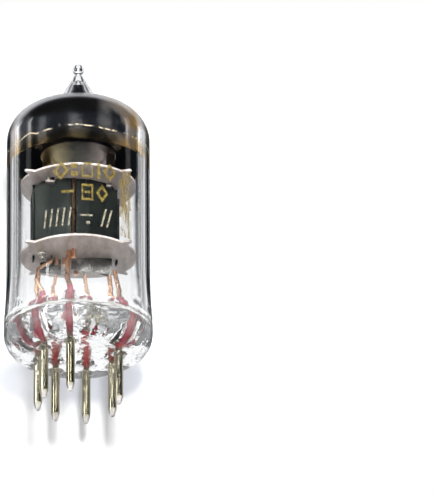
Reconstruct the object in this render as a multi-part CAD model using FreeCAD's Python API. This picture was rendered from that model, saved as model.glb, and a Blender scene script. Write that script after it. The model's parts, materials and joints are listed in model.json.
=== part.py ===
import FreeCAD, Part
import math
import os

# Miniature seven-pin all-glass pentode valve (tube). Millimetres.
# +Z runs along the valve from the pins to the exhaust tip. The origin is the centre
# of the pin circle on the flat underside of the glass base.

# ---- driving dimensions -------------------------------------------------
# pins and base
PIN_CIRCLE_D = 9.525
PIN_D = 1.016
PIN_OUT = 6.3            # length below the glass
PIN_IN = 1.2             # length buried in the glass, tapering to PIN_ROOT_R
PIN_ROOT_R = 0.40
PIN_TAPER = 0.9          # tapered end
PIN_END_R = 0.30
PIN_PITCH_DEG = 45.0
FIRST_PIN_DEG = 281.0    # clockwise seen from above, from -Y
PIN_COUNT = 7

BASE_FLAT_R = 5.8
BASE_CORNER_R = 2.85
BASE_TOP_Z = 3.6         # inner floor of the pressed glass base
BASE_RIM_Z = 4.6         # where the base is fused to the bulb
FOOT_R, FOOT_Z = 0.95, -0.35        # glass foot round each pin
COLLAR_R, COLLAR_FOOT_R, COLLAR_Z = 0.72, 1.25, 6.0   # glass collar round each wire
SEAL_R = 0.36            # borated sealing wire
SEAL_TOP_Z = 6.6

# bulb
BARREL_R = 8.4
FLARE_R = 8.65
WALL = 0.70
FLARE_END_Z = 10.5
DOME_Z = 27.5
KNUCKLE_R = 4.0
CROWN_R = 18.0
TIP_BALL_R = 0.68
TIP_BALL_Z = 37.1
TIP_FOOT_R = 3.4         # where the drawn-off tip leaves the crown
BORE_R = 1.5             # mouth of its sealed bore, inside
FILM_Z = 24.2            # lower edge of the getter film
FILM_T = 0.05

# electrode stack
MICA_R = 6.75
MICA_POINT_R = 7.63
MICA_T = 0.25
LOWER_MICA_Z = 12.3      # undersides
UPPER_MICA_Z = 21.4
STACK_X = -0.4
STACK_TURN_DEG = 8.0
SHEET = 0.2
ANODE_HALF_W = 4.95
ANODE_HALF_D = 2.9
SEAM_X = 0.53            # the two anode halves meet off centre, on opposite sides
SEAM_GAP = 0.62
ROD_R = 0.3

# getter
PAN_R, PAN_Z, PAN_T = 4.4, 25.5, 0.15
RING_R, RING_IN_R, RING_H = 4.1, 3.1, 0.8

os.makedirs("parts", exist_ok=True)


# ---- helpers -------------------------------------------------------------
def vec(x, y, z):
    return FreeCAD.Vector(x, y, z)


def rz(r, z):
    return vec(r, 0, z)


def line(a, b):
    return Part.makeLine(a, b)


def arc(a, mid, b):
    return Part.Arc(a, mid, b).toShape()


def curve(points, start=None, end=None):
    spline = Part.BSplineCurve()
    if start is None:
        spline.interpolate(points)
    else:
        spline.interpolate(Points=points, InitialTangent=start, FinalTangent=end)
    return spline.toShape()


def turned(edges):
    face = Part.Face(Part.Wire(Part.__sortEdges__(edges)))
    return face.revolve(vec(0, 0, 0), vec(0, 0, 1), 360)


def turned_at(x, y, points):
    """A small turned solid from (radius, height) points, standing at x, y."""
    ring = [rz(r, z) for r, z in points]
    solid = Part.Face(Part.makePolygon(ring + ring[:1])).revolve(
        vec(0, 0, 0), vec(0, 0, 1), 360)
    solid.translate(vec(x, y, 0))
    return solid


def rod(x, y, z0, z1, r):
    return Part.makeCylinder(r, z1 - z0, vec(x, y, z0))


def wire_path(points, r):
    """A round wire through the points, with rounded elbows."""
    body = None
    for a, b in zip(points, points[1:]):
        a, b = vec(*a), vec(*b)
        piece = Part.makeCylinder(r, (b - a).Length, a, b - a)
        body = piece if body is None else body.fuse(piece)
    for p in points[1:-1]:
        body = body.fuse(Part.makeSphere(r, vec(*p)))
    return body.removeSplitter()


def prism(points, z0, z1):
    ring = [vec(x, y, z0) for x, y in points]
    return Part.Face(Part.makePolygon(ring + ring[:1])).extrude(vec(0, 0, z1 - z0))


def block(x0, x1, y0, y1, z0, z1):
    return Part.makeBox(x1 - x0, y1 - y0, z1 - z0, vec(x0, y0, z0))


def ribbon(a, b, thick, low_a, low_b, top):
    """An upright strip from a to b; its lower edge may slope."""
    (ax, ay), (bx, by) = a, b
    face = Part.Face(Part.makePolygon([
        vec(ax, ay, low_a), vec(bx, by, low_b), vec(bx, by, top), vec(ax, ay, top),
        vec(ax, ay, low_a)]))
    n = vec(ay - by, bx - ax, 0)
    n.normalize()
    strip = face.extrude(n * thick)
    strip.translate(n * (-thick / 2))
    return strip


def oval(half_x, half_y, z0, z1):
    """A slab with straight long sides and round ends."""
    run = half_x - half_y
    slab = block(-run, run, -half_y, half_y, z0, z1)
    for x in (-run, run):
        slab = slab.fuse(rod(x, 0, z0, z1, half_y))
    return slab.removeSplitter()


def into_stack(shape):
    """From the stack's own axes to the valve's."""
    shape = shape.copy()
    shape.rotate(vec(0, 0, 0), vec(0, 0, 1), STACK_TURN_DEG)
    shape.translate(vec(STACK_X, 0, 0))
    return shape


def stack_xy(x, y):
    a = math.radians(STACK_TURN_DEG)
    return (STACK_X + x * math.cos(a) - y * math.sin(a), x * math.sin(a) + y * math.cos(a))


def save(name, shape):
    assert shape.isValid(), name
    assert all(s.isClosed() and s.Volume > 0 for s in shape.Solids) and shape.Solids, name
    shape.exportStep("parts/" + name + ".step")


def pin_xy(number):
    a = math.radians(FIRST_PIN_DEG - PIN_PITCH_DEG * (number - 1))
    return (-PIN_CIRCLE_D / 2 * math.sin(a), -PIN_CIRCLE_D / 2 * math.cos(a))


PINS = {n: pin_xy(n) for n in range(1, PIN_COUNT + 1)}

# ---- pins and the wires sealed into the glass ------------------------------
pins, seals = {}, {}
for n, (x, y) in PINS.items():
    r = PIN_D / 2
    pins[n] = turned_at(x, y, [
        (0, -PIN_OUT), (PIN_END_R * 0.6, -PIN_OUT), (PIN_END_R, -PIN_OUT + 0.12),
        (r, -PIN_OUT + PIN_TAPER), (r, FOOT_Z), (PIN_ROOT_R, PIN_IN), (0, PIN_IN)])
    seals[n] = rod(x, y, PIN_IN, SEAL_TOP_Z, SEAL_R)
    save("pin_%d" % n, pins[n])
    save("seal_wire_%d" % n, seals[n])

# ---- pressed glass base ----------------------------------------------------
inner_r = BARREL_R - WALL
base = turned([
    line(rz(0, 0), rz(BASE_FLAT_R, 0)),
    arc(rz(BASE_FLAT_R, 0),
        rz(BASE_FLAT_R + BASE_CORNER_R * math.sin(math.pi / 4),
           BASE_CORNER_R * (1 - math.cos(math.pi / 4))),
        rz(FLARE_R, BASE_CORNER_R)),
    line(rz(FLARE_R, BASE_CORNER_R), rz(FLARE_R, BASE_RIM_Z)),
    line(rz(FLARE_R, BASE_RIM_Z), rz(inner_r, BASE_RIM_Z)),
    arc(rz(inner_r, BASE_RIM_Z), rz(inner_r - 0.293, BASE_TOP_Z + 0.293),
        rz(inner_r - 1.0, BASE_TOP_Z)),
    line(rz(inner_r - 1.0, BASE_TOP_Z), rz(0, BASE_TOP_Z)),
    line(rz(0, BASE_TOP_Z), rz(0, 0)),
])
for n, (x, y) in PINS.items():
    foot = turned_at(x, y, [(0, FOOT_Z), (PIN_D / 2 + 0.08, FOOT_Z),
                            (PIN_D / 2 + 0.16, FOOT_Z * 0.45), (FOOT_R, 0.02), (0, 0.02)])
    collar = turned_at(x, y, [
        (0, BASE_TOP_Z - 0.02), (COLLAR_FOOT_R, BASE_TOP_Z - 0.02),
        (COLLAR_R + 0.17, BASE_TOP_Z + 0.45), (COLLAR_R, BASE_TOP_Z + 1.2),
        (COLLAR_R, COLLAR_Z - 0.25), (COLLAR_R - 0.16, COLLAR_Z), (0, COLLAR_Z)])
    base = base.fuse(foot).fuse(collar)
for n in PINS:
    x, y = PINS[n]
    base = base.cut(pins[n]).cut(rod(x, y, 0, COLLAR_Z + 1, SEAL_R))
base = base.removeSplitter()
save("base_button", base)

# ---- bulb with its sealed exhaust tip ---------------------------------------
run = CROWN_R - KNUCKLE_R
crown_z = DOME_Z - math.sqrt(run ** 2 - (BARREL_R - KNUCKLE_R) ** 2)
lean = ((BARREL_R - KNUCKLE_R) / run, (DOME_Z - crown_z) / run)


def dome(offset, r_start, r_barrel_z):
    """Edges of the dome, inset by offset, from radius r_start out to the barrel."""
    crown, knuckle = CROWN_R - offset, KNUCKLE_R - offset
    cx = BARREL_R - KNUCKLE_R
    join = rz(crown * lean[0], crown_z + crown * lean[1])
    first = rz(r_start, crown_z + math.sqrt(crown ** 2 - r_start ** 2))
    r_mid = (r_start + join.x) / 2
    half = math.radians(38)
    return first, [
        arc(first, rz(r_mid, crown_z + math.sqrt(crown ** 2 - r_mid ** 2)), join),
        arc(join, rz(cx + knuckle * math.cos(half), DOME_Z + knuckle * math.sin(half)),
            rz(cx + knuckle, DOME_Z)),
        line(rz(cx + knuckle, DOME_Z), rz(cx + knuckle, r_barrel_z)),
    ]


out_start, outside = dome(0, TIP_FOOT_R, FLARE_END_Z)
in_start, inside = dome(WALL, BORE_R, BASE_RIM_Z)
ball_low = rz(TIP_BALL_R * math.cos(math.radians(48)),
              TIP_BALL_Z - TIP_BALL_R * math.sin(math.radians(48)))
tip_edge = [
    arc(rz(0, TIP_BALL_Z + TIP_BALL_R), rz(TIP_BALL_R, TIP_BALL_Z), ball_low),
    curve([ball_low, rz(0.44, 36.42), rz(0.52, 36.2), rz(0.74, 35.85), rz(0.98, 35.3),
           rz(1.32, 34.75), rz(1.68, 34.1), rz(2.05, 33.35), rz(2.6, 32.55), out_start]),
]
BORE = [(1.12, 31.9), (0.84, 32.8), (0.62, 33.7), (0.44, 34.5), (0.24, 35.1)]
bore_top = rz(0, 35.3)
tip_bore = curve([in_start] + [rz(r, z) for r, z in BORE] + [bore_top])
# the flare at the foot is steepest at the rim
flare = curve(
    [rz(BARREL_R + (FLARE_R - BARREL_R) * (1 - t) ** 2.5,
        BASE_RIM_Z + (FLARE_END_Z - BASE_RIM_Z) * t) for t in (1, 0.75, 0.5, 0.25, 0)],
    vec(0, 0, -5), vec(0.53, 0, -5))
bulb = turned(
    tip_edge + outside + inside + [
        tip_bore,
        line(bore_top, rz(0, TIP_BALL_Z + TIP_BALL_R)),
        flare,
        line(rz(FLARE_R, BASE_RIM_Z), rz(inner_r, BASE_RIM_Z)),
    ])
save("bulb", bulb)

# ---- getter film on the inside of the dome and up the tip's bore -------------
film_out_start, film_out = dome(WALL, BORE_R, FILM_Z)
film_in_start, film_in = dome(WALL + FILM_T, BORE_R - FILM_T, FILM_Z)
lining_top, lining_end = rz(*BORE[-2]), rz(BORE[-2][0] - FILM_T, BORE[-2][1])
film = turned(film_out + film_in + [
    curve([in_start] + [rz(r, z) for r, z in BORE[:-1]]),
    line(lining_top, lining_end),
    curve([film_in_start] + [rz(r - FILM_T, z - 0.01) for r, z in BORE[:-2]] + [lining_end]),
    line(rz(inner_r, FILM_Z), rz(inner_r - FILM_T, FILM_Z))])
save("getter_film", film)

# ---- electrode stack, drawn on its own axes ---------------------------------
low_top = LOWER_MICA_Z + MICA_T
up_top = UPPER_MICA_Z + MICA_T

# cathode: flat-sided nickel sleeve with its oxide coating, heater folded inside
SLEEVE = (0.65, 0.40, 0.06)
sleeve = oval(SLEEVE[0], SLEEVE[1], 11.9, 22.9).cut(
    oval(SLEEVE[0] - SLEEVE[2], SLEEVE[1] - SLEEVE[2], 11.8, 23.0))
coating = oval(SLEEVE[0] + 0.06, SLEEVE[1] + 0.06, 13.2, 21.2).cut(
    oval(SLEEVE[0], SLEEVE[1], 13.1, 21.3))
heater = wire_path([(-0.39, 0, 11.0), (-0.39, 0, 22.4), (-0.13, 0, 22.4), (-0.13, 0, 12.6),
                    (0.13, 0, 12.6), (0.13, 0, 22.4), (0.39, 0, 22.4), (0.39, 0, 11.0)], 0.11)

# grids: two side rods each, with the turns swaged across them
GRIDS = {   # rod x, rod radius, half depth of the turns, wire radius, pitch
    "grid_1": (1.25, 0.25, 0.66, 0.04, 0.40),
    "grid_2": (2.15, 0.25, 1.05, 0.04, 0.60),
    "grid_3": (3.10, 0.28, 1.60, 0.05, 0.90),
}


def grid_turns(half_x, half_y, wire, pitch):
    turns = []
    z = low_top + 0.7
    while z < UPPER_MICA_Z - 0.6:
        outer = oval(half_x + wire, half_y + wire, z - wire, z + wire)
        turns.append(outer.cut(oval(half_x - wire, half_y - wire, z - 1, z + 1)))
        z += pitch
    return turns


rod_holes = []
for name, (gx, gr, depth, wire, pitch) in GRIDS.items():
    rods = [rod(sx * gx, 0, 11.4, 22.8, gr) for sx in (-1, 1)]
    rod_holes += [rod(sx * gx, 0, 11.0, 23.5, gr) for sx in (-1, 1)]
    turns = grid_turns(gx + gr - 0.12, depth, wire, pitch)
    turns = [t.cut(Part.makeCompound(rods)) for t in turns]
    save(name + "_rods", into_stack(Part.makeCompound(rods)))
    save(name + "_winding", into_stack(Part.makeCompound(
        [s for t in turns for s in t.Solids])))

save("cathode_sleeve", into_stack(sleeve))
save("cathode_coating", into_stack(coating))
save("heater", into_stack(heater))

# anode: two folded half shells on two support rods
QUARTER = [(ANODE_HALF_W, -0.9), (3.2, -2.2), (1.3, -ANODE_HALF_D)]
outline = QUARTER + [(-x, y) for x, y in reversed(QUARTER)]
outline += [(-x, -y) for x, y in outline]


def shell_slab(inset, z0, z1, corner):
    flat = Part.makePolygon([vec(x, y, z0) for x, y in outline + outline[:1]])
    face = Part.Face(flat)
    if inset:
        face = face.makeOffset2D(-inset)
    slab = face.extrude(vec(0, 0, z1 - z0))
    upright = [e for e in slab.Edges
               if abs(e.Vertexes[0].Z - e.Vertexes[-1].Z) > 1e-3]
    return slab.makeFillet(corner, upright)


anode_low, anode_high = low_top, UPPER_MICA_Z
shell = shell_slab(0, anode_low, anode_high, 0.5).cut(
    shell_slab(SHEET, anode_low - 1, anode_high + 1, 0.3))
seam = math.atan2(SEAM_X, ANODE_HALF_D)
front_rod = (-SEAM_X, -ANODE_HALF_D + SHEET / 2)
back_rod = (SEAM_X, ANODE_HALF_D - SHEET / 2)
slot = block(-SEAM_GAP / 2, SEAM_GAP / 2, -4, 4, 12, 23)
slot.rotate(vec(0, 0, 0), vec(0, 0, 1), -math.degrees(seam))
halves = shell.cut(slot)

# openings in the upper edge beside the ears, and sloped upper corners
NOTCHES = [(-3.15, -2.2, 1.05, 1.3, 0.6), (3.75, -1.75, 0.7, 1.0, 0.45),
           (3.15, 2.2, 1.05, 1.3, 0.6), (-3.75, 1.75, 0.7, 1.0, 0.45)]
for x, y, w, d, h in NOTCHES:
    halves = halves.cut(block(x - w / 2, x + w / 2, y - d / 2, y + d / 2,
                              anode_high - h, anode_high + 1))
for sx in (-1, 1):
    wedge = Part.Face(Part.makePolygon([
        vec(sx * 4.1, -4, anode_high), vec(sx * 5.5, -4, anode_high + 0.1),
        vec(sx * 5.5, -4, anode_high - 1.15), vec(sx * 4.1, -4, anode_high)]))
    halves = halves.cut(wedge.extrude(vec(0, 8, 0)))

# side laps, and ears that pass through the micas
laps, ears = [], []
for sx in (-1, 1):
    x0, x1 = sorted((sx * ANODE_HALF_W, sx * (ANODE_HALF_W + SHEET)))
    laps.append(block(x0, x1, -1.15 if sx < 0 else -0.8, 0.8 if sx < 0 else 1.15,
                      13.0, 20.1))
    e0, e1 = sorted((sx * ANODE_HALF_W, sx * (ANODE_HALF_W - SHEET)))
    ears.append(block(e0, e1, -0.45, 0.45, 11.8, anode_low + 0.2))
    ears.append(block(e0, e1, -0.45, 0.45, anode_high - 1.3, 22.7))
halves = halves.fuse(laps + ears).removeSplitter()
left, right = sorted(halves.Solids, key=lambda s: s.CenterOfMass.x)
save("anode_left", into_stack(left))
save("anode_right", into_stack(right))

rods = [rod(x, y, 11.2, 22.8, ROD_R) for x, y in (front_rod, back_rod)]
save("anode_rod_front", into_stack(rods[0].cut(halves)))
save("anode_rod_back", into_stack(rods[1].cut(halves)))

# micas: punched discs with points that grip the glass
POINTS_DEG = [40, 140, 220, 320]
EYELETS = [(3.95, 1.35), (-3.95, -1.35)]
EYELET_R, EYELET_RIM, EYELET_BORE = 0.38, 0.62, 0.24


def mica(z, notches):
    disc = rod(0, 0, z, z + MICA_T, MICA_R)
    for deg in POINTS_DEG:
        a = math.radians(deg)
        b = 0.085
        tooth = [(6.6 * math.cos(a - b), 6.6 * math.sin(a - b)),
                 (MICA_POINT_R * math.cos(a - 0.02), MICA_POINT_R * math.sin(a - 0.02)),
                 (MICA_POINT_R * math.cos(a + 0.02), MICA_POINT_R * math.sin(a + 0.02)),
                 (6.6 * math.cos(a + b), 6.6 * math.sin(a + b))]
        disc = disc.fuse(prism(tooth, z, z + MICA_T))
    holes = list(rod_holes) + [oval(SLEEVE[0], SLEEVE[1], z - 1, z + 1)]
    holes += [rod(x, y, z - 1, z + 1, ROD_R) for x, y in (front_rod, back_rod)]
    for sx in (-1, 1):
        e0, e1 = sorted((sx * (ANODE_HALF_W + 0.12), sx * (ANODE_HALF_W - SHEET)))
        holes.append(block(e0, e1, -0.55, 0.55, z - 1, z + 1))
    for x, y, w, d, h in notches:
        holes.append(block(x - w / 2, x + w / 2, y - d / 2 - 0.05, y + d / 2, z - 1, z + 1))
    if z == LOWER_MICA_Z:
        holes += [rod(x, y, z - 1, z + 1, EYELET_R) for x, y in EYELETS]
    disc = disc.removeSplitter()
    return disc.cut(Part.makeCompound([into_stack(h) for h in holes]))


save("lower_mica", mica(LOWER_MICA_Z, []))
save("upper_mica", mica(UPPER_MICA_Z, NOTCHES))

# rolled eyelets in the lower mica that carry the welding tabs
eyelets = []
for x, y in EYELETS:
    eyelet = turned_at(x, y, [
        (EYELET_BORE, 11.45), (EYELET_R, 11.45), (EYELET_R, LOWER_MICA_Z - 0.12),
        (EYELET_RIM, LOWER_MICA_Z - 0.12), (EYELET_RIM, LOWER_MICA_Z),
        (EYELET_R, LOWER_MICA_Z), (EYELET_R, low_top), (EYELET_BORE, low_top)])
    eyelets.append(into_stack(eyelet))
save("mica_eyelets", Part.makeCompound(eyelets))

# ---- leads from the seals to the electrodes ---------------------------------
front_x, front_y = stack_xy(*front_rod)
LEADS = {   # waypoints above the seal, and wire radius
    1: ([(4.55, -0.75, 8.0), (4.15, -0.55, 10.4)], 0.27),
    2: ([(3.75, 2.5, 8.4), (3.55, 1.95, 11.2)], 0.27),
    3: ([(0.95, 4.2, 8.2), (0.75, 2.6, 11.3)], 0.22),
    4: ([(-2.95, 3.75, 8.8), (-2.55, 2.3, 11.2)], 0.20),
    5: ([(-4.72, 0.95, 8.8), (-4.62, 0.75, 10.7)], 0.30),
    6: ([(-4.75, -2.75, 8.3), (-4.55, -2.35, 10.0), (-3.05, -1.65, 11.3)], 0.20),
    7: ([(-1.25, -4.30, 7.8), (front_x - 0.55, front_y - 0.28, 11.9)], 0.30),
}
leads = {}
for n, (way, r) in LEADS.items():
    x, y = PINS[n]
    leads[n] = wire_path([(x, y, SEAL_TOP_Z)] + way, r)
    # a flat foot on the seal wire
    leads[n] = leads[n].cut(rod(x, y, SEAL_TOP_Z - 1, SEAL_TOP_Z, 1.0))
all_leads = Part.makeCompound(list(leads.values()))
for n in leads:
    save("inner_lead_%d" % n, leads[n])

# ---- nickel straps under the lower mica -------------------------------------
# each runs from a lead to a rod end, and is notched where those pass
stubs = Part.makeCompound(
    [into_stack(s) for s in rod_holes] + [into_stack(r) for r in rods] + eyelets
    + [into_stack(heater), into_stack(oval(SLEEVE[0], SLEEVE[1], 11.8, 12.3))])
gone = Part.makeCompound([all_leads, stubs])
sleeve_side = stack_xy(-0.5, -SLEEVE[1] - 0.075)
suppressor_rod = stack_xy(-GRIDS["grid_3"][0], 0)
control_rod = stack_xy(GRIDS["grid_1"][0], 0)
STRAPS = {  # start, end, thickness, lower edge at start, lower edge at end, top
    "screen_strap": ((-4.42, 0.75), (-2.0, -0.22), 0.15, 10.7, 9.9, 12.15),
    "control_grid_strap": ((3.60, 1.98), control_rod, 0.15, 10.6, 10.9, 12.15),
    "cathode_strap": (sleeve_side, (3.90, -0.45), 0.15, 10.6, 9.9, 12.15),
    "suppressor_strap": ((-3.08, -1.55), suppressor_rod, 0.15, 11.0, 11.0, 12.15),
}
for name, (a, b, t, la, lb, top) in STRAPS.items():
    strap = ribbon(a, b, t, la, lb, top).cut(gone)
    save(name, max(strap.Solids, key=lambda s: s.Volume))

# short tabs that join the heater ends to their leads
for name, (hx, n) in {"heater_tab_1": (-0.39, 4), "heater_tab_2": (0.39, 3)}.items():
    sx, sy = stack_xy(hx, 0)
    end = LEADS[n][0][-1]
    tab = ribbon((end[0], end[1] - 0.05), (sx, sy), 0.12, 10.9, 10.9, 11.3)
    tab = tab.cut(gone)
    save(name, max(tab.Solids, key=lambda s: s.Volume))

# ---- getter: round pan, powder ring and two legs -----------------------------
pan = turned([
    line(rz(0, PAN_Z + 0.25), rz(3.0, PAN_Z + 0.25)),
    line(rz(3.0, PAN_Z + 0.25), rz(3.3, PAN_Z)),
    line(rz(3.3, PAN_Z), rz(PAN_R, PAN_Z)),
    line(rz(PAN_R, PAN_Z), rz(PAN_R, PAN_Z + 0.45)),
    line(rz(PAN_R, PAN_Z + 0.45), rz(PAN_R - PAN_T, PAN_Z + 0.45)),
    line(rz(PAN_R - PAN_T, PAN_Z + 0.45), rz(PAN_R - PAN_T, PAN_Z + PAN_T)),
    line(rz(PAN_R - PAN_T, PAN_Z + PAN_T), rz(3.36, PAN_Z + PAN_T)),
    line(rz(3.36, PAN_Z + PAN_T), rz(3.06, PAN_Z + 0.25 + PAN_T)),
    line(rz(3.06, PAN_Z + 0.25 + PAN_T), rz(0, PAN_Z + 0.25 + PAN_T)),
    line(rz(0, PAN_Z + 0.25 + PAN_T), rz(0, PAN_Z + 0.25)),
])
save("getter_pan", pan)

ring_z = PAN_Z + 0.25 + PAN_T
ring = turned_at(0, 0, [
    (RING_IN_R - 0.3, ring_z), (RING_R - 0.3, ring_z), (RING_R - 0.3, ring_z + RING_H),
    (RING_R - 0.42, ring_z + RING_H), (RING_R - 0.42, ring_z + 0.14),
    (RING_IN_R - 0.18, ring_z + 0.14), (RING_IN_R - 0.18, ring_z + RING_H),
    (RING_IN_R - 0.3, ring_z + RING_H)])
save("getter_ring", ring)

GETTER_LEGS = {"getter_leg_right": (3.75, -1.0, 12), "getter_leg_left": (-3.7, 1.2, 8)}
for name, (x, y, turn) in GETTER_LEGS.items():
    leg = block(-0.5, 0.5, -0.075, 0.075, up_top, PAN_Z)
    foot_plate = block(-0.5, 0.5, -0.075, 0.9, up_top, up_top + 0.12)
    leg = leg.fuse(foot_plate).removeSplitter()
    leg.rotate(vec(0, 0, 0), vec(0, 0, 1), turn)
    leg.translate(vec(x, y, 0))
    save(name, leg)

# strap over the upper mica that joins the suppressor rods
tops = Part.makeCompound([into_stack(s) for s in rod_holes])
bridge = block(-3.6, 3.6, 0.62, 0.74, up_top, up_top + 0.5)
for sx in (-1, 1):
    bridge = bridge.fuse(block(sx * 3.1 - 0.3, sx * 3.1 + 0.3, 0.2, 0.68, up_top, up_top + 0.12))
save("suppressor_bridge", into_stack(bridge.removeSplitter()).cut(tops))
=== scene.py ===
import json
import math

import bmesh
import bpy
from mathutils import Matrix, Vector

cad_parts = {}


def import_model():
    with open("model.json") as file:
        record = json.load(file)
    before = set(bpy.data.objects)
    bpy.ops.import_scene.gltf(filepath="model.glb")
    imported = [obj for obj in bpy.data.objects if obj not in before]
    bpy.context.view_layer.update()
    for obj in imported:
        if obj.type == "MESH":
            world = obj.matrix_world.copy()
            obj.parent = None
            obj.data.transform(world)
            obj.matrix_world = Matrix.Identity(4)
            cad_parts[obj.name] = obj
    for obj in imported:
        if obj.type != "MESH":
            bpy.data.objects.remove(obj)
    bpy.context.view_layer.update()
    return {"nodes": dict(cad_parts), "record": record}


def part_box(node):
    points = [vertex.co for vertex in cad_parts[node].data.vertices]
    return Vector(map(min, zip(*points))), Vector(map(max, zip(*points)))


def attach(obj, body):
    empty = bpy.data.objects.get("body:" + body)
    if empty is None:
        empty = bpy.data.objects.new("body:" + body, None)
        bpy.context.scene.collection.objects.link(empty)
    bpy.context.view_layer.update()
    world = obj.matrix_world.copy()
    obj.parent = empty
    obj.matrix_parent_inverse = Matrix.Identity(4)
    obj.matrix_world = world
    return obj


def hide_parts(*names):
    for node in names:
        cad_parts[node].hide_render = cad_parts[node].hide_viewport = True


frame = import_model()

MM = 0.001
NODES = frame["nodes"]


# ---- dimensions read from the frame (mm) ------------------------------------
def low(node):
    return [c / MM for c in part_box(node)[0]]


def high(node):
    return [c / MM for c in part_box(node)[1]]


PINS = {}              # pin number: centre (x, y)
for n in range(1, 8):
    a, b = low("pin_%d" % n), high("pin_%d" % n)
    PINS[n] = ((a[0] + b[0]) / 2, (a[1] + b[1]) / 2)
PIN_TIP_Z = low("pin_1")[2]
FOOT_Z, COLLAR_Z = low("base_button")[2], high("base_button")[2]
RIM_Z, TOP_Z = low("bulb")[2], high("bulb")[2]
LOWER_MICA_Z = low("lower_mica")[2]
FILM_Z = low("getter_film")[2]

# glass profile, as the design has it
FLARE_R, BARREL_R, WALL = 8.65, 8.40, 0.70
FLAT_R, CORNER_R, FLOOR_Z = 5.80, 2.85, 3.60
FLARE_END_Z, DOME_Z, KNUCKLE_R, CROWN_R = 10.5, 27.5, 4.0, 18.0
TIP_R, TIP_FOOT_R, BORE_R = 0.68, 3.4, 1.5
BORE = [(1.12, 31.9), (0.84, 32.8), (0.62, 33.7), (0.44, 34.5), (0.24, 35.1)]
BORE_END = (0.0, 35.3)
TIP_NECK = [(2.6, 32.55), (2.05, 33.35), (1.68, 34.1), (1.32, 34.75), (0.98, 35.3),
            (0.74, 35.85), (0.52, 36.2), (0.44, 36.42)]
BALL_CUT_DEG = 48      # how far below its equator the tip's ball meets the neck
INNER_R = BARREL_R - WALL
INNER_CORNER_R = 1.0
TURNS = 160            # facets round the bulb
FOOT_TURNS, COLLAR_TURNS = 40, 48

# surface films
FILM_LIFTS = (0.03, -0.04)            # getter film's outer and inner skin, from the glass's inner wall
PRINT_LIFTS = (0.004, 0.022)          # print's under and upper side, from the barrel
UPPER_V, MID_V, LOWER_V = 20.05, 17.2, 14.1     # heights of the three printed rows


# ---- mesh helpers ------------------------------------------------------------
def arc_points(cx, cz, r, a0, a1, count):
    return [(cx + r * math.cos(math.radians(a0 + (a1 - a0) * i / count)),
             cz + r * math.sin(math.radians(a0 + (a1 - a0) * i / count)))
            for i in range(count + 1)]


def smooth_points(points, per=6):
    """Catmull-Rom points through a short list."""
    out = []
    ext = [points[0]] + list(points) + [points[-1]]
    for i in range(1, len(ext) - 2):
        p0, p1, p2, p3 = ext[i - 1:i + 3]
        for k in range(per):
            t = k / per
            out.append(tuple(
                0.5 * (2 * b + (c - a) * t + (2 * a - 5 * b + 4 * c - d) * t * t
                       + (3 * b - a - 3 * c + d) * t ** 3)
                for a, b, c, d in zip(p0, p1, p2, p3)))
    return out + [tuple(points[-1])]


def new_object(name, mesh):
    obj = bpy.data.objects.new(name, mesh)
    bpy.context.scene.collection.objects.link(obj)
    return obj


def from_bmesh(name, bm, smooth=0):
    """An object from a bmesh; smooth is the angle above which an edge stays sharp, 0 for flat."""
    bmesh.ops.recalc_face_normals(bm, faces=bm.faces)
    mesh = bpy.data.meshes.new(name)
    bm.to_mesh(mesh)
    bm.free()
    if smooth:
        mesh.shade_smooth()
        mesh.set_sharp_from_angle(angle=math.radians(smooth))
    return new_object(name, mesh)


def lathe(bm, profile, centre=(0, 0), turns=TURNS):
    """Turns an open profile that starts and ends on the axis, or a closed ring of points."""
    closed = profile[0][0] > 1e-6
    rings = []
    for r, z in profile:
        if r < 1e-6:
            rings.append([bm.verts.new((centre[0] * MM, centre[1] * MM, z * MM))])
        else:
            rings.append([bm.verts.new(((centre[0] + r * math.cos(2 * math.pi * i / turns)) * MM,
                                        (centre[1] + r * math.sin(2 * math.pi * i / turns)) * MM,
                                        z * MM)) for i in range(turns)])
    pairs = list(zip(rings, rings[1:])) + ([(rings[-1], rings[0])] if closed else [])
    for a, b in pairs:
        for i in range(turns):
            j = (i + 1) % turns
            quad = [a[i % len(a)], a[j % len(a)], b[j % len(b)], b[i % len(b)]]
            face = [v for k, v in enumerate(quad) if v not in quad[:k]]
            if len(face) > 2:
                bm.faces.new(face)


def turned(name, profile, centre=(0, 0), turns=TURNS):
    bm = bmesh.new()
    lathe(bm, profile, centre, turns)
    return from_bmesh(name, bm)


def combine(target, tools, operation, name):
    """One closed mesh from a target and the tools joined to it or cut from it, which are used up."""
    for tool in tools:
        m = target.modifiers.new("combine", "BOOLEAN")
        m.operation, m.solver, m.object = operation, "EXACT", tool
    bpy.context.view_layer.update()
    graph = bpy.context.evaluated_depsgraph_get()
    mesh = bpy.data.meshes.new_from_object(target.evaluated_get(graph))
    for o in [target] + tools:
        bpy.data.objects.remove(o)
    mesh.name = name
    return new_object(name, mesh)


# ---- material helpers ----------------------------------------------------------
def material(name):
    m = bpy.data.materials.new(name)
    m.use_nodes = True
    nt = m.node_tree
    return m, nt, nt.nodes["Principled BSDF"]


def place(nt, scale=(1, 1, 1), spin=(0, 0, 0)):
    """Object coordinates in millimetres, stretched."""
    coords = nt.nodes.new("ShaderNodeTexCoord")
    mapping = nt.nodes.new("ShaderNodeMapping")
    mapping.inputs["Scale"].default_value = [s / MM for s in scale]
    mapping.inputs["Rotation"].default_value = spin
    nt.links.new(coords.outputs["Object"], mapping.inputs["Vector"])
    return mapping.outputs["Vector"]


def noise(nt, where, scale, detail=3.0, rough=0.5):
    n = nt.nodes.new("ShaderNodeTexNoise")
    n.inputs["Scale"].default_value = scale
    n.inputs["Detail"].default_value = detail
    n.inputs["Roughness"].default_value = rough
    nt.links.new(where, n.inputs["Vector"])
    return n.outputs["Fac"]


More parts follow.
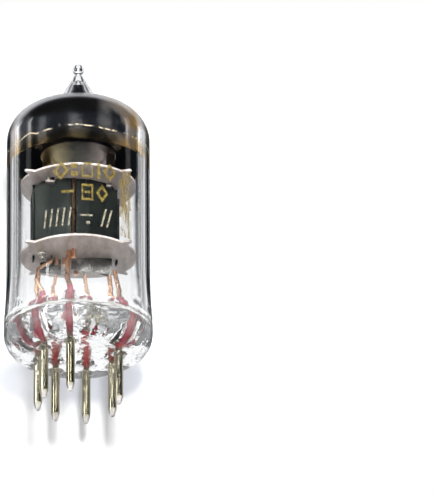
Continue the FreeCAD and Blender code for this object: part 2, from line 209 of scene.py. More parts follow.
def ramp(nt, value, *stops):
    """Colour by value; each stop is (position, (r, g, b))."""
    n = nt.nodes.new("ShaderNodeValToRGB")
    elements = n.color_ramp.elements
    while len(elements) < len(stops):
        elements.new(0.5)
    for e, (position, colour) in zip(elements, stops):
        e.position = position
        e.color = (*colour, 1)
    nt.links.new(value, n.inputs["Fac"])
    return n.outputs["Color"]


def span(nt, value, a, b, c, d):
    """Value mapped from a..b to c..d, and held at the ends."""
    n = nt.nodes.new("ShaderNodeMapRange")
    for key, v in zip(("From Min", "From Max", "To Min", "To Max"), (a, b, c, d)):
        n.inputs[key].default_value = v
    nt.links.new(value, n.inputs["Value"])
    return n.outputs["Result"]


def math_node(nt, op, a, b=None):
    """A maths node; a and b are numbers or other nodes' outputs."""
    n = nt.nodes.new("ShaderNodeMath")
    n.operation = op
    for socket, v in zip(n.inputs, (a, b)):
        if v is None:
            continue
        if hasattr(v, "is_linked"):
            nt.links.new(v, socket)
        else:
            socket.default_value = v
    return n.outputs[0]


def along(nt, axis):
    """The object's own X, Y or Z in metres."""
    coords = nt.nodes.new("ShaderNodeTexCoord")
    split = nt.nodes.new("ShaderNodeSeparateXYZ")
    nt.links.new(coords.outputs["Object"], split.inputs[0])
    return split.outputs[axis]


def height_mm(nt):
    return math_node(nt, "MULTIPLY", along(nt, "Z"), 1 / MM)


def length_of(nt, vector):
    n = nt.nodes.new("ShaderNodeVectorMath")
    n.operation = "LENGTH"
    nt.links.new(vector, n.inputs[0])
    return n.outputs["Value"]


def mix_colours(nt, factor, a, b):
    """Colour a where factor is 0 and b where it is 1; b is an output or one plain colour."""
    n = nt.nodes.new("ShaderNodeMix")
    n.data_type = "RGBA"
    nt.links.new(factor, n.inputs["Factor"])
    nt.links.new(a, n.inputs["A"])
    if isinstance(b, tuple):
        n.inputs["B"].default_value = (*b, 1)
    else:
        nt.links.new(b, n.inputs["B"])
    return n.outputs["Result"]


def mix_shaders(nt, factor, a, b, output="Material Output"):
    """Sends shader a, where factor is 0, or b, where it is 1, to the output node."""
    n = nt.nodes.new("ShaderNodeMixShader")
    if hasattr(factor, "is_linked"):
        nt.links.new(factor, n.inputs[0])
    else:
        n.inputs[0].default_value = factor
    nt.links.new(a.outputs[0], n.inputs[1])
    nt.links.new(b.outputs[0], n.inputs[2])
    nt.links.new(n.outputs[0], nt.nodes[output].inputs["Surface"])


def clear_shader(nt):
    return nt.nodes.new("ShaderNodeBsdfTransparent")


def bump(nt, shader, height, strength, distance_mm):
    n = nt.nodes.new("ShaderNodeBump")
    n.inputs["Strength"].default_value = strength
    n.inputs["Distance"].default_value = distance_mm * MM
    nt.links.new(height, n.inputs["Height"])
    nt.links.new(n.outputs["Normal"], shader.inputs["Normal"])


def grained(nt, shader, grain, rough, depth_mm, strength=0.5):
    """Roughness between two values and a fine relief, both from one noise."""
    nt.links.new(span(nt, grain, 0.3, 0.7, *rough), shader.inputs["Roughness"])
    bump(nt, shader, grain, strength, depth_mm)


def wear(nt, shader, colours, rough, scale, stretch=(1, 1, 1), fine=8.0, depth_mm=0.02):
    """Mottled colour, roughness and a fine grain, all from noise."""
    where = place(nt, stretch)
    nt.links.new(ramp(nt, noise(nt, where, scale, 4.0), *colours), shader.inputs["Base Color"])
    grained(nt, shader, noise(nt, where, scale * fine, 3.0), rough, depth_mm)


# ---- materials ------------------------------------------------------------------
def glass_material():
    """Clear glass, drawn smooth above, pressed with folds and seeds and a little clouded below."""
    m, nt, shader = material("clear_glass")
    shader.inputs["Base Color"].default_value = (0.985, 0.995, 0.99, 1)
    shader.inputs["IOR"].default_value = 1.50
    smudge = noise(nt, place(nt, (0.25, 0.25, 0.12)), 1.0, 5.0, 0.6)
    nt.links.new(span(nt, smudge, 0.60, 0.85, 0.0, 0.02), shader.inputs["Roughness"])
    z = height_mm(nt)
    folds = noise(nt, place(nt, (0.55, 0.55, 0.40)), 1.0, 2.0, 0.5)

    radius = length_of(nt, place(nt, (1, 1, 0)))
    cloud = math_node(nt, "MULTIPLY", span(nt, z, 5.2, 8.6, 1.0, 0.0),
                      span(nt, radius, 7.0, 8.4, 0.0, 1.0))
    cloud = math_node(nt, "MULTIPLY", cloud, span(nt, folds, 0.35, 0.65, 0.02, 0.06))
    rim = math_node(nt, "MULTIPLY", span(nt, z, 3.4, 5.0, 1.0, 0.0),
                    span(nt, radius, 7.6, 8.6, 0.0, 0.035))
    milky = math_node(nt, "ADD", cloud, rim)
    nt.links.new(math_node(nt, "SUBTRACT", 1.0, milky), shader.inputs["Transmission Weight"])

    seeds = noise(nt, place(nt, (1.5, 1.5, 1.2)), 1.0, 1.0)
    rough_cast = math_node(nt, "ADD", folds, math_node(nt, "MULTIPLY", seeds, 0.14))
    drawn = math_node(nt, "MULTIPLY", noise(nt, place(nt, (0.16, 0.16, 0.05)), 1.0, 1.0), 0.07)
    relief = nt.nodes.new("ShaderNodeMix")
    nt.links.new(span(nt, z, 3.2, 5.4, 1.0, 0.0), relief.inputs["Factor"])
    nt.links.new(drawn, relief.inputs["A"])
    nt.links.new(rough_cast, relief.inputs["B"])
    bump(nt, shader, relief.outputs["Result"], 1.0, 0.15)

    # a shadow ray passes straight through, dimmed by the thick base and hardly by the wall
    path = nt.nodes.new("ShaderNodeLightPath")
    clear = clear_shader(nt)
    nt.links.new(ramp(nt, span(nt, z, 3.0, 6.0, 0.0, 1.0), (0.0, (0.52, 0.54, 0.58)),
                      (1.0, (0.97, 0.975, 0.98))), clear.inputs["Color"])
    mix_shaders(nt, path.outputs["Is Shadow Ray"], shader, clear)
    return m


def pin_material():
    """Drawn wire with a yellowish tarnish along it, brighter at the ends from wear and from a painted
    highlight for the tips' glint.
    """
    m, nt, shader = material("tarnished_pin")
    shader.inputs["Metallic"].default_value = 1.0
    where = place(nt, (1, 1, 0.10))
    tarnish = ramp(nt, noise(nt, where, 0.5, 3.0), (0.30, (0.35, 0.315, 0.21)),
                   (0.50, (0.58, 0.54, 0.40)), (0.72, (0.84, 0.80, 0.64)))
    # brighter colour at the ends: wear, and a painted highlight standing in for the tips' glint
    worn_and_glint = ramp(nt, noise(nt, place(nt), 1.5, 3.0), (0.3, (0.80, 0.76, 0.70)),
                  (0.7, (0.97, 0.95, 0.92)))
    end = span(nt, height_mm(nt), PIN_TIP_Z + 0.95, PIN_TIP_Z + 0.45, 0.0, 1.0)
    nt.links.new(mix_colours(nt, end, tarnish, worn_and_glint), shader.inputs["Base Color"])
    grained(nt, shader, noise(nt, where, 3.0, 3.0), (0.09, 0.20), 0.002)
    return m


def seal_material():
    """Copper-clad wire, deep red under its borate skin where the glass holds it."""
    m, nt, shader = material("cherry_seal_wire")
    shader.inputs["Specular IOR Level"].default_value = 0.06
    where = place(nt, (1, 1, 0.5))
    waver = span(nt, noise(nt, where, 0.9, 3.0), 0.3, 0.7, -0.4, 0.4)
    level = math_node(nt, "ADD", height_mm(nt), waver)
    nt.links.new(ramp(nt, span(nt, level, 1.0, 7.0, 0.0, 1.0), (0.08, (0.07, 0.045, 0.040)),
                      (0.20, (0.09, 0.001, 0.006)), (0.60, (0.15, 0.002, 0.011)),
                      (0.80, (0.15, 0.030, 0.045))), shader.inputs["Base Color"])
    grained(nt, shader, noise(nt, where, 4.0, 3.0), (0.25, 0.45), 0.004)
    return m


def copper_material():
    """Bright on the leads below the lower mica, burnt brown where it runs hot above it."""
    m, nt, shader = material("copper_lead")
    shader.inputs["Metallic"].default_value = 1.0
    where = place(nt, (0.7, 0.7, 0.16))
    broad = noise(nt, where, 0.7, 3.0)
    bright = ramp(nt, broad, (0.30, (0.48, 0.22, 0.12)), (0.50, (0.78, 0.44, 0.28)),
                  (0.72, (0.95, 0.68, 0.50)))
    burnt = ramp(nt, broad, (0.30, (0.045, 0.030, 0.020)), (0.70, (0.13, 0.085, 0.055)))
    above = span(nt, height_mm(nt), LOWER_MICA_Z - 0.2, LOWER_MICA_Z + 0.6, 0.0, 1.0)
    nt.links.new(mix_colours(nt, above, bright, burnt), shader.inputs["Base Color"])
    grained(nt, shader, noise(nt, where, 4.2, 3.0), (0.20, 0.42), 0.003)
    return m


def nickel_material():
    m, nt, shader = material("bright_nickel")
    shader.inputs["Metallic"].default_value = 1.0
    wear(nt, shader, ((0.30, (0.42, 0.41, 0.38)), (0.55, (0.66, 0.65, 0.61)),
                      (0.75, (0.80, 0.79, 0.75))), (0.16, 0.34), 0.8, (1, 1, 0.4), 6.0, 0.003)
    return m


def dark_nickel_material():
    m, nt, shader = material("carbonised_nickel")
    shader.inputs["Metallic"].default_value = 0.25
    shader.inputs["Specular IOR Level"].default_value = 0.3
    wear(nt, shader, ((0.30, (0.005, 0.0065, 0.0065)), (0.55, (0.010, 0.0125, 0.011)),
                      (0.75, (0.022, 0.025, 0.022))), (0.30, 0.50), 0.35, (1, 1, 0.35), 10.0, 0.006)
    return m


def strap_material():
    """Rolled nickel strip, greyed by the pumping heat."""
    m, nt, shader = material("heat_greyed_nickel")
    shader.inputs["Metallic"].default_value = 1.0
    wear(nt, shader, ((0.34, (0.045, 0.046, 0.044)), (0.50, (0.17, 0.17, 0.16)),
                      (0.64, (0.52, 0.51, 0.48))), (0.14, 0.30), 0.55, (1, 1, 0.5), 6.0, 0.006)
    return m


def mica_material():
    """Streaked and flaky, with some light let through."""
    m, nt, shader = material("mica")
    grain_turn = (0, 0, 0.35)
    streak = noise(nt, place(nt, (0.9, 0.30, 0.3), grain_turn), 1.0, 6.0, 0.62)
    nt.links.new(ramp(nt, streak, (0.30, (0.34, 0.285, 0.265)), (0.50, (0.56, 0.49, 0.465)),
                      (0.72, (0.78, 0.73, 0.70))), shader.inputs["Base Color"])
    shader.inputs["Roughness"].default_value = 0.28
    shader.inputs["Coat Weight"].default_value = 0.5
    flakes = noise(nt, place(nt, (2.2, 1.2, 1.0), grain_turn), 1.0, 4.0)
    bump(nt, shader, flakes, 0.4, 0.02)
    glow = nt.nodes.new("ShaderNodeBsdfTranslucent")
    nt.links.new(ramp(nt, streak, (0.3, (0.50, 0.43, 0.39)), (0.7, (0.80, 0.73, 0.69))),
                 glow.inputs["Color"])
    mix_shaders(nt, 0.35, shader, glow)
    return m


def oxide_material():
    m, nt, shader = material("white_oxide")
    wear(nt, shader, ((0.35, (0.70, 0.69, 0.65)), (0.65, (0.88, 0.88, 0.85))), (0.75, 0.95), 3.0)
    return m


def getter_metal_material():
    """Bright metal with brown, gold and grey bands across the pan: heat tint, with painted reflections
    in the gold band at the left and the light band at the right.
    """
    m, nt, shader = material("pressed_getter_metal")
    shader.inputs["Metallic"].default_value = 1.0
    pan_reach = 4.4 * MM
    across = math_node(nt, "ADD", span(nt, along(nt, "X"), -pan_reach, pan_reach, 0.0, 1.0),
                       span(nt, noise(nt, place(nt), 0.22, 3.0), 0.3, 0.7, -0.10, 0.10))
    # colour laid left to right in X: heat tint plus painted reflections, gold at the left, dark in the
    # middle, light at the right
    nt.links.new(ramp(nt, across, (0.05, (0.22, 0.16, 0.07)), (0.26, (0.46, 0.38, 0.20)),
                      (0.48, (0.06, 0.055, 0.040)), (0.62, (0.09, 0.075, 0.065)),
                      (0.80, (0.34, 0.28, 0.26)), (0.97, (0.14, 0.11, 0.09))),
                 shader.inputs["Base Color"])
    grained(nt, shader, noise(nt, place(nt), 1.4, 3.0), (0.28, 0.40), 0.003, 0.4)
    return m


def faces_vacuum(nt):
    """1 on the film's inner face, 0 on the face that lies against the glass."""
    coords = nt.nodes.new("ShaderNodeTexCoord")
    from_below = nt.nodes.new("ShaderNodeVectorMath")
    from_below.operation = "SUBTRACT"
    from_below.inputs[1].default_value = (0, 0, (FILM_Z - 5) * MM)
    nt.links.new(coords.outputs["Object"], from_below.inputs[0])
    outward = nt.nodes.new("ShaderNodeVectorMath")
    outward.operation = "DOT_PRODUCT"
    nt.links.new(coords.outputs["Normal"], outward.inputs[0])
    nt.links.new(from_below.outputs[0], outward.inputs[1])
    return math_node(nt, "LESS_THAN", outward.outputs["Value"], 0.0)


def film_material():
    """A mirror that thins to brown and gold at its lower edge, with a broken bright line that is a
    painted row of highlights, and brown patches at its sides that are thin film and painted
    reflection.

    The face towards the vacuum is a dull dark brown, gold only along its edge."""
    m, nt, shader = material("getter_mirror")
    ragged = noise(nt, place(nt, (0.30, 0.30, 0.10)), 1.0, 3.0)
    patches = noise(nt, place(nt, (0.28, 0.28, 0.22)), 1.0, 2.0, 0.6)
    level = math_node(nt, "ADD", height_mm(nt), span(nt, ragged, 0.3, 0.7, -0.35, 0.35))
    depth = ramp(nt, span(nt, level, FILM_Z, FILM_Z + 4.0, 0.0, 1.0),
                 (0.0, (0.85, 0.70, 0.40)), (0.06, (0.62, 0.44, 0.20)),
                 (0.16, (0.42, 0.32, 0.19)), (0.34, (0.56, 0.52, 0.46)),
                 (0.60, (0.68, 0.68, 0.70)))

    # brown patches kept to the film's sides by X: thin-film mottling, and a painted reflection of the
    # warm glints seen there
    x = along(nt, "X")
    sides = math_node(nt, "MAXIMUM", span(nt, x, 2.0 * MM, 6.0 * MM, 0.0, 1.0),
                      span(nt, x, -5.0 * MM, -7.5 * MM, 0.0, 0.5))
    haze_and_painted_reflection = math_node(nt, "MULTIPLY", span(nt, patches, 0.44, 0.62, 0.0, 1.0), sides)
    colour = mix_colours(nt, haze_and_painted_reflection, depth, (0.36, 0.23, 0.10))

    # a broken bright dashed line high on the film, matt gold: a painted row of highlights
    dashes = noise(nt, place(nt, (2.0, 2.0, 0.1)), 1.0, 2.0)
    near = span(nt, level, FILM_Z + 1.62, FILM_Z + 1.72, 0.0, 1.0)
    far = span(nt, level, FILM_Z + 1.86, FILM_Z + 1.76, 0.0, 1.0)
    line = math_node(nt, "MULTIPLY", math_node(nt, "MULTIPLY", near, far),
                     span(nt, dashes, 0.42, 0.55, 0.0, 0.9))
    colour = mix_colours(nt, line, colour, (0.42, 0.31, 0.13))

    inside = math_node(nt, "MULTIPLY", faces_vacuum(nt),
                       span(nt, level, FILM_Z + 0.3, FILM_Z + 0.9, 0.0, 1.0))
    dull = ramp(nt, patches, (0.35, (0.018, 0.016, 0.016)), (0.65, (0.075, 0.055, 0.032)))
    nt.links.new(mix_colours(nt, inside, colour, dull), shader.inputs["Base Color"])

    nt.links.new(math_node(nt, "ADD", span(nt, patches, 0.3, 0.7, 0.03, 0.09),
                           math_node(nt, "MULTIPLY", inside, 0.10)), shader.inputs["Roughness"])
    matt = math_node(nt, "MAXIMUM", line, math_node(nt, "MULTIPLY", haze_and_painted_reflection, 0.22))
    nt.links.new(math_node(nt, "SUBTRACT", 1.0, matt), shader.inputs["Metallic"])
    clear = clear_shader(nt)
    clear.inputs["Color"].default_value = (1.0, 0.93, 0.80, 1)
    mix_shaders(nt, span(nt, level, FILM_Z - 0.1, FILM_Z + 0.35, 0.0, 1.0), clear, shader)
    return m


def print_material(name, colour, worn, drag=1.0):
    """Thin print with chips in it; drag below 1 draws the chips out along the bulb."""
    m, nt, shader = material(name)
    nt.links.new(ramp(nt, noise(nt, place(nt), 0.9, 4.0), (0.3, [c * 0.7 for c in colour]),
                      (0.7, colour)), shader.inputs["Base Color"])
    shader.inputs["Roughness"].default_value = 0.6
    chips = noise(nt, place(nt, (1, 1, drag)), 2.2, 5.0, 0.65)
    mix_shaders(nt, span(nt, chips, worn - 0.12, worn + 0.10, 0.10, 0.90), clear_shader(nt), shader)
    return m


GLASS, FILM, STRAP = glass_material(), film_material(), strap_material()
BY_SLOT = {"glass": GLASS, "pin_metal": pin_material(), "seal_metal": seal_material(),
           "copper": copper_material(), "nickel": nickel_material(),
           "dark_nickel": dark_nickel_material(), "mica": mica_material(),
           "oxide": oxide_material(), "getter_metal": getter_metal_material(),
           "getter_mirror": FILM}
for part in frame["record"]["subparts"]:
    is_strap = part["node"].endswith("_strap")
    obj = NODES[part["node"]]
    obj.data.materials.clear()
    obj.data.materials.append(STRAP if is_strap else BY_SLOT[part["material_slot"]])

# ---- glass: base and bulb as the one fused piece they are -------------------------
KNUCKLE_X = BARREL_R - KNUCKLE_R
CROWN_Z = DOME_Z - math.sqrt((CROWN_R - KNUCKLE_R) ** 2 - KNUCKLE_X ** 2)
JOIN_DEG = math.degrees(math.atan2(DOME_Z - CROWN_Z, KNUCKLE_X))


def dome_points(inset, r_axis):
    """From the barrel's top over the knuckle and crown to radius r_axis."""
    knuckle = arc_points(KNUCKLE_X, DOME_Z, KNUCKLE_R - inset, 0, JOIN_DEG, 18)
    crown_r = CROWN_R - inset
    end = math.degrees(math.acos(r_axis / crown_r))
    return knuckle + arc_points(0, CROWN_Z, crown_r, JOIN_DEG, end, 16)[1:]


def outer_profile():
    """Flat underside, rounded corner, flare, barrel, dome, drawn neck and the tip's ball."""
    ball_z = TOP_Z - TIP_R
    cut = math.radians(BALL_CUT_DEG)
    points = [(0, 0), (1.5, 0), (3.2, 0), (4.6, 0)]
    points += arc_points(FLAT_R, CORNER_R, CORNER_R, -90, 0, 22)
    points += [(FLARE_R, (CORNER_R + RIM_Z) / 2), (FLARE_R, RIM_Z)]
    points += [(BARREL_R + (FLARE_R - BARREL_R) * (1 - i / 12) ** 2.5,
                RIM_Z + (FLARE_END_Z - RIM_Z) * i / 12) for i in range(1, 13)]
    points += [(BARREL_R, FLARE_END_Z + (DOME_Z - FLARE_END_Z) * i / 12) for i in range(1, 12)]
    points += dome_points(0, TIP_FOOT_R)
    ball_foot = (TIP_R * math.cos(cut), ball_z - TIP_R * math.sin(cut))
    points += smooth_points([points[-1]] + TIP_NECK + [ball_foot])[1:]
    points += arc_points(0, ball_z, TIP_R, -BALL_CUT_DEG, 90, 18)[1:-1]
    return points + [(0, TOP_Z)]


def inner_profile():
    """Glass floor, small corner, wall, dome and the bore up into the tip."""
    points = [(0, FLOOR_Z), (1.5, FLOOR_Z), (3.2, FLOOR_Z), (4.9, FLOOR_Z)]
    points += arc_points(INNER_R - INNER_CORNER_R, FLOOR_Z + INNER_CORNER_R, INNER_CORNER_R,
                         -90, 0, 10)
    points += [(INNER_R, RIM_Z + (DOME_Z - RIM_Z) * i / 22) for i in range(1, 22)]
    points += dome_points(WALL, BORE_R)
    return points + smooth_points([points[-1]] + BORE + [BORE_END])[1:]


PIN_FOOT = [(0, 0.3), (1.0, 0.3), (1.0, -0.02), (0.86, -0.05), (0.74, -0.12), (0.66, -0.22),
            (0.60, FOOT_Z), (0, FOOT_Z)]
WIRE_COLLAR = [(0, FLOOR_Z - 0.3), (1.42, FLOOR_Z - 0.3), (1.42, FLOOR_Z + 0.02),
               (1.16, FLOOR_Z + 0.12), (0.96, FLOOR_Z + 0.38), (0.82, FLOOR_Z + 0.85),
               (0.74, FLOOR_Z + 1.5), (0.72, COLLAR_Z - 0.25), (0.66, COLLAR_Z - 0.08),
               (0.52, COLLAR_Z), (0, COLLAR_Z)]

body = turned("glass_body", outer_profile())
feet = [turned("foot", PIN_FOOT, xy, FOOT_TURNS) for xy in PINS.values()]
body = combine(body, feet, "UNION", "glass_body")
cavity = turned("cavity", inner_profile())
collars = [turned("collar", WIRE_COLLAR, xy, COLLAR_TURNS) for xy in PINS.values()]
cavity = combine(cavity, collars, "DIFFERENCE", "cavity")
glass = combine(body, [cavity], "DIFFERENCE", "glass_envelope")
glass.data.shade_smooth()
glass.data.set_sharp_from_angle(angle=math.radians(42))
glass.data.materials.clear()
glass.data.materials.append(GLASS)
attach(glass, "root")
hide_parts("bulb", "base_button")


# ---- getter film, let into the inner skin of the glass -----------------------------
def film_skin(lift):
    """The upper wall, dome and bore, moved outward by lift."""
    wall = [(INNER_R + lift, FILM_Z + (DOME_Z - FILM_Z) * i / 8) for i in range(8)]
    dome = dome_points(WALL - lift, BORE_R + lift)
    lining = smooth_points([dome[-1]] + [(r + lift, z + lift / 2) for r, z in BORE[:-1]])[1:]
    return wall + dome + lining


film_out, film_in = [film_skin(lift) for lift in FILM_LIFTS]
bm = bmesh.new()
lathe(bm, film_out + film_in[::-1])
film = from_bmesh("getter_film_mirror", bm, 50)
film.data.materials.append(FILM)
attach(film, "root")
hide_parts("getter_film")


# ---- printed marks: plain diamonds, frames, bars and strokes wrapped on the barrel --
def on_barrel(u, v, lift):
    """The point at arc length u from -Y and height v, lifted off the barrel, all in mm."""
    a = u / BARREL_R
    r = BARREL_R + lift
    return (r * math.sin(a) * MM, -r * math.cos(a) * MM, v * MM)


def patch(bm, u, v, half_w, half_h, slant=0.0):
    """A filled block bent round the barrel; slant leans its top over to +u."""
    steps = max(2, int(half_w / 0.2) + 1)
    grid = [[[bm.verts.new(on_barrel(u - half_w + 2 * half_w * i / steps + slant * end,
                                     v + half_h * end, lift)) for end in (-1, 1)]
             for i in range(steps + 1)] for lift in PRINT_LIFTS]
    for i in range(steps):
        (a0, a1), (b0, b1) = grid[1][i], grid[1][i + 1]
        (c0, c1), (d0, d1) = grid[0][i], grid[0][i + 1]
        for quad in ((a0, b0, b1, a1), (c1, d1, d0, c0), (a0, c0, d0, b0), (b1, d1, c1, a1)):
            bm.faces.new(quad)
    for under, upper in ((grid[0][0], grid[1][0]), (grid[0][-1], grid[1][-1])):
        bm.faces.new((under[0], under[1], upper[1], upper[0]))


def outline(bm, u, v, corners, stroke):
    """A closed frame with the given corners, (x, y) from its centre, and a stroke width."""
    def loop(shrink):
        points = []
        for (x0, y0), (x1, y1) in zip(corners, corners[1:] + corners[:1]):
            for k in range(6):
                x, y = x0 + (x1 - x0) * k / 6, y0 + (y1 - y0) * k / 6
                points.append((u + x * shrink, v + y * shrink))
        return points
    reach = min(math.hypot(x, y) for x, y in corners)
    loops = [[[bm.verts.new(on_barrel(x, y, lift)) for x, y in loop(k)]
              for k in (1.0, 1.0 - 1.4 * stroke / reach)] for lift in PRINT_LIFTS]
    (low_out, low_in), (top_out, top_in) = loops
    for i in range(len(low_out)):
        j = (i + 1) % len(low_out)
        for quad in ((top_out[i], top_out[j], top_in[j], top_in[i]),
                     (low_out[j], low_out[i], low_in[i], low_in[j]),
                     (top_in[i], top_in[j], low_in[j], low_in[i]),
                     (low_out[i], low_out[j], top_out[j], top_out[i])):
            bm.faces.new(quad)


def diamond(w, h):
    return [(w / 2, 0), (0, h / 2), (-w / 2, 0), (0, -h / 2)]


def square(w, h):
    return [(-w / 2, -h / 2), (w / 2, -h / 2), (w / 2, h / 2), (-w / 2, h / 2)]


bm = bmesh.new()
outline(bm, -2.05, UPPER_V, diamond(1.9, 2.5), 0.30)
patch(bm, -0.45, UPPER_V + 0.5, 0.42, 0.30)
patch(bm, -0.45, UPPER_V - 0.5, 0.42, 0.30)
outline(bm, 1.05, UPPER_V, square(1.35, 1.9), 0.24)
patch(bm, 2.40, UPPER_V, 0.17, 1.05)
outline(bm, 3.75, UPPER_V, diamond(1.7, 2.3), 0.28)
patch(bm, -1.25, MID_V + 0.1, 0.75, 0.17)
outline(bm, 1.05, MID_V, square(1.35, 2.1), 0.26)
patch(bm, 1.05, MID_V, 0.34, 0.16)
outline(bm, 2.80, MID_V, diamond(1.5, 2.3), 0.26)
yellow = from_bmesh("printed_marks_yellow", bm, 40)
yellow.data.materials.append(print_material("faded_yellow_print", (0.135, 0.098, 0.018), 0.46))
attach(yellow, "root")

bm = bmesh.new()
for k in range(5):
    patch(bm, -3.95 + 0.74 * k, LOWER_V, 0.10, 1.15, 0.14)
patch(bm, 0.95, LOWER_V + 0.15, 0.70, 0.11)
patch(bm, 1.15, LOWER_V - 0.8, 0.20, 0.18)
patch(bm, 3.0, LOWER_V, 0.11, 1.15, 0.30)
patch(bm, 3.7, LOWER_V, 0.11, 1.15, 0.30)
cream = from_bmesh("printed_marks_cream", bm, 40)
cream.data.materials.append(print_material("worn_cream_print", (0.24, 0.22, 0.16), 0.47))
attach(cream, "root")

bm = bmesh.new()
for k in range(7):
    patch(bm, 5.95 + 0.15 * math.sin(2.3 * k), 12.9 + 1.22 * k, 0.75, 0.61)
smear = from_bmesh("printed_side_band", bm, 40)
smear.data.materials.append(
    print_material("rubbed_side_print", (0.155, 0.112, 0.038), 0.56, 0.16))
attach(smear, "root")


# ---- stage: pale floor under the pins, pale sheet behind ---------------------------
def stage_material(name, pale, fade_from, fade_to):
    """Pale from its front, nothing from behind, and fading out between two distances in mm."""
    m, nt, shader = material(name)
    shader.inputs["Base Color"].default_value = (pale, pale, pale, 1)
    shader.inputs["Roughness"].default_value = 0.9
    shader.inputs["Specular IOR Level"].default_value = 0.1
    coords = nt.nodes.new("ShaderNodeTexCoord")
    away = span(nt, length_of(nt, coords.outputs["Object"]), fade_from * MM, fade_to * MM, 0.0, 1.0)
    back = nt.nodes.new("ShaderNodeNewGeometry")
    hide = math_node(nt, "MAXIMUM", away, back.outputs["Backfacing"])
    mix_shaders(nt, hide, shader, clear_shader(nt))
    return m


def sheet_at(name, centre, right, up, half):
    """A square stage sheet; centre and half its width in mm, right and up along its sides."""
    mesh = bpy.data.meshes.new(name)
    r, u = Vector(right) * half * MM, Vector(up) * half * MM
    mesh.from_pydata([-r - u, r - u, r + u, -r + u], [], [(0, 1, 2, 3)])
    obj = new_object(name, mesh)
    obj.location = Vector(centre) * MM
    return obj


MID_Z = 14.0          # the height the sheet, the lamps and the camera are centred on, mm
floor = sheet_at("floor", (0, 0, PIN_TIP_Z - 0.02), (1, 0, 0), (0, 1, 0), 400)
floor.data.materials.append(stage_material("pale_floor", 0.80, 45, 150))
backdrop = sheet_at("backdrop", (0, FLARE_R + 0.05, MID_Z), (1, 0, 0), (0, 0, 1), 120)
backdrop.data.materials.append(stage_material("pale_sheet", 0.50, 15, 32))
backdrop.visible_transmission = backdrop.visible_glossy = False


# ---- light -------------------------------------------------------------------------
# brightness by bearing, in degrees from +Y to either side: for rays that climb, and the rest
UPPER_BANDS = ((0, 1.0), (8, 1.0), (10, 0.012), (36, 0.012), (38.5, 1.0), (46, 0.9), (62, 0.9),
               (66, 0.03), (86, 0.03), (88, 0.6), (92, 0.6), (94, 0.015), (180, 0.012))
LOWER_BANDS = ((0, 1.0), (14, 1.0), (18, 0.10), (30, 0.10), (34, 0.95), (56, 0.95), (60, 0.08),
               (84, 0.04), (86, 1.0), (93, 1.0), (95, 0.03), (130, 0.03), (134, 0.35),
               (142, 0.35), (146, 0.03), (180, 0.03))


def world():
    """A pale tent with dark gaps at even bearings, which is what draws the edges of clear glass."""
    w = bpy.data.worlds.new("studio")
    bpy.context.scene.world = w
    w.use_nodes = True
    nt = w.node_tree
    nt.nodes.clear()
    out = nt.nodes.new("ShaderNodeOutputWorld")
    coords = nt.nodes.new("ShaderNodeTexCoord")
    split = nt.nodes.new("ShaderNodeSeparateXYZ")
    nt.links.new(coords.outputs["Generated"], split.inputs[0])
    bearing = math_node(nt, "ARCTAN2", math_node(nt, "ABSOLUTE", split.outputs["X"]),
                        split.outputs["Y"])
    turn = math_node(nt, "DIVIDE", bearing, math.pi)

    def bands(stops):
        """Bright stops a little blue, dark ones more so."""
        return ramp(nt, turn, *[(deg / 180, (v, v, v * 1.02) if v > 0.1 else (v, v * 1.2, v * 1.6))
                                for deg, v in stops])
    around = mix_colours(nt, span(nt, split.outputs["Z"], 0.14, 0.26, 0.0, 1.0),
                         bands(LOWER_BANDS), bands(UPPER_BANDS))
    overhead = ramp(nt, split.outputs["Y"], (0.37, (0.01, 0.01, 0.01)), (0.44, (0.15, 0.15, 0.16)),
                    (0.57, (0.60, 0.60, 0.62)), (0.74, (1.0, 1.0, 1.02)))
    room = nt.nodes.new("ShaderNodeBackground")
    nt.links.new(mix_colours(nt, span(nt, split.outputs["Z"], 0.50, 0.62, 0.0, 1.0),
                             around, overhead), room.inputs["Color"])
    white = nt.nodes.new("ShaderNodeBackground")
    white.inputs["Color"].default_value = (1, 1, 1, 1)
    path = nt.nodes.new("ShaderNodeLightPath")
    mix_shaders(nt, path.outputs["Is Camera Ray"], room, white, out.name)


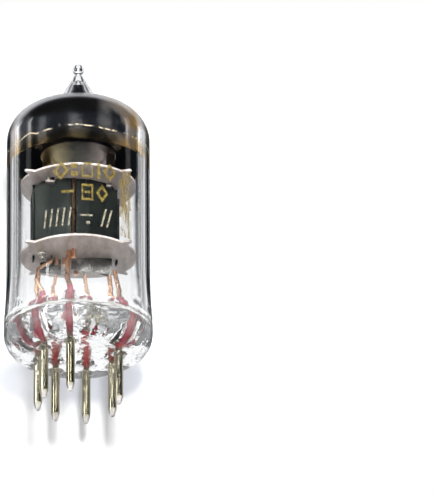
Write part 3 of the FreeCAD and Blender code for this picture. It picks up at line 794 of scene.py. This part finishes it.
def softbox(name, bearing, rise, far_mm, size_mm, power, mirrored):
    """A soft lamp on a bearing (0 is +Y, 90 is +X) and an elevation in degrees."""
    light = bpy.data.lights.new(name, "AREA")
    light.shape, light.size, light.size_y = "RECTANGLE", size_mm[0] * MM, size_mm[1] * MM
    light.energy = power
    obj = bpy.data.objects.new(name, light)
    b, r = math.radians(bearing), math.radians(rise)
    away = Vector((math.sin(b) * math.cos(r), math.cos(b) * math.cos(r), math.sin(r)))
    obj.location = (Vector((0, 0, MID_Z)) + away * far_mm) * MM
    obj.rotation_euler = (-away).to_track_quat("-Z", "Y").to_euler()
    obj.visible_camera = False
    obj.visible_glossy = obj.visible_transmission = mirrored
    bpy.context.scene.collection.objects.link(obj)


world()
softbox("key", 173, 7, 300, (56, 56), 1.9, False)
softbox("fill", -135, 45, 300, (220, 150), 0.6, False)
softbox("front", 175, -20, 320, (240, 110), 0.4, False)
softbox("back", 20, 50, 300, (220, 150), 0.6, False)
softbox("sparkle", 180, 13.5, 300, (104, 34), 0.36, True)
softbox("side_left", -60, 25, 300, (16, 60), 0.006, True)
softbox("side_right", 60, 25, 300, (16, 60), 0.006, True)
softbox("strip_left", -128, 8, 300, (26, 150), 0.25, True)
softbox("strip_right", 150, 4, 300, (16, 150), 0.12, True)

# ---- camera: long lens, from below the pins, turned aside to put the part at the left ----
FAR_MM, ASIDE_MM, LENS_MM = 800, 16.23, 499
VIEW_UP = math.radians(25)
ASIDE = math.atan(ASIDE_MM / FAR_MM)
ahead = Vector((0, math.cos(VIEW_UP), math.sin(VIEW_UP)))
above = Vector((0, -math.sin(VIEW_UP), math.cos(VIEW_UP)))
look = ahead * math.cos(ASIDE) + Vector((1, 0, 0)) * math.sin(ASIDE)
camera = bpy.data.objects.new("camera", bpy.data.cameras.new("camera"))
camera.location = (Vector((0, 0, MID_Z)) - ahead * FAR_MM) * MM
camera.rotation_euler = Matrix((look.cross(above), above, -look)).transposed().to_euler()
camera.data.lens = LENS_MM
camera.data.clip_start, camera.data.clip_end = 0.01, 10
bpy.context.scene.collection.objects.link(camera)
bpy.context.scene.camera = camera
bpy.context.scene.view_settings.view_transform = "Standard"
bpy.context.scene.cycles.max_bounces = 24
bpy.context.scene.cycles.transmission_bounces = 20
bpy.context.scene.cycles.transparent_max_bounces = 24
